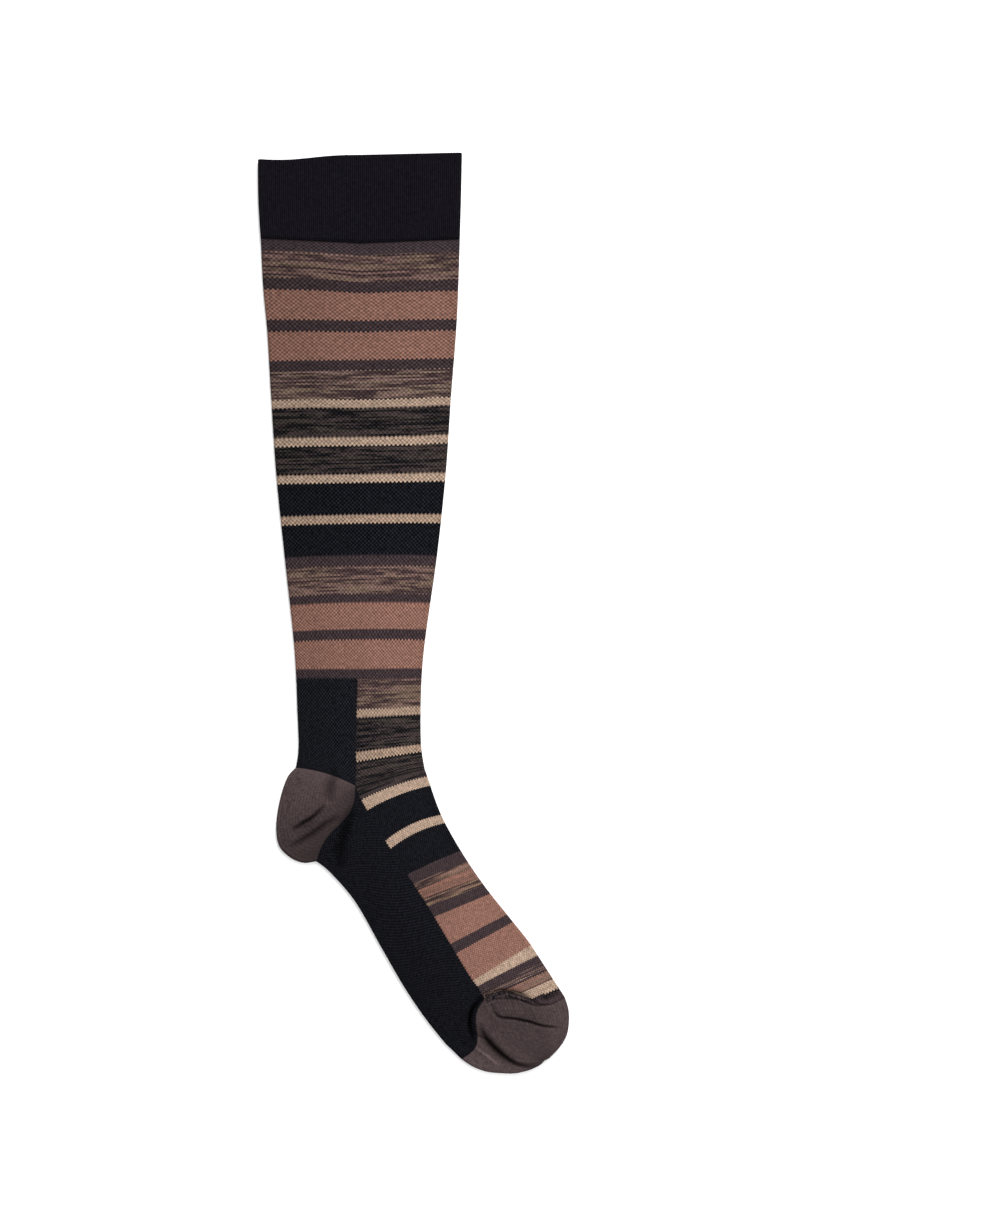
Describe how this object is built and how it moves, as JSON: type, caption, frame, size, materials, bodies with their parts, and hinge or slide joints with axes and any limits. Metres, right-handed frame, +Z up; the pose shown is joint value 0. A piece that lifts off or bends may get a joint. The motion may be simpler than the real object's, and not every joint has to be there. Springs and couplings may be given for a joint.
{
  "type": "compression stocking",
  "caption": "Knee-high compression stocking laid flat on its side, with a ribbed cuff, striped leg and instep, dark sole, turned heel and closed toe.",
  "frame": {"origin": "centre of the footprint of the flat stocking, at the surface it lies on", "axes": "+X from the back of the leg to its front, +Y from the toe up to the cuff, +Z up from the surface it lies on"},
  "size_m": [0.1741, 0.515, 0.0062],
  "materials": {
    "cuff": "black elastic rib knit",
    "leg": "bird's-eye knit in stripes of taupe, tan, beige and black, some of them marled",
    "heel": "plain taupe jersey",
    "foot": "plain black jersey sole with a striped instep",
    "toe": "plain taupe jersey"
  },
  "bodies": {
    "root": {"cuff": "cuff", "leg": "leg", "heel": "heel", "foot": "foot", "toe": "toe"}
  },
  "joints": []
}
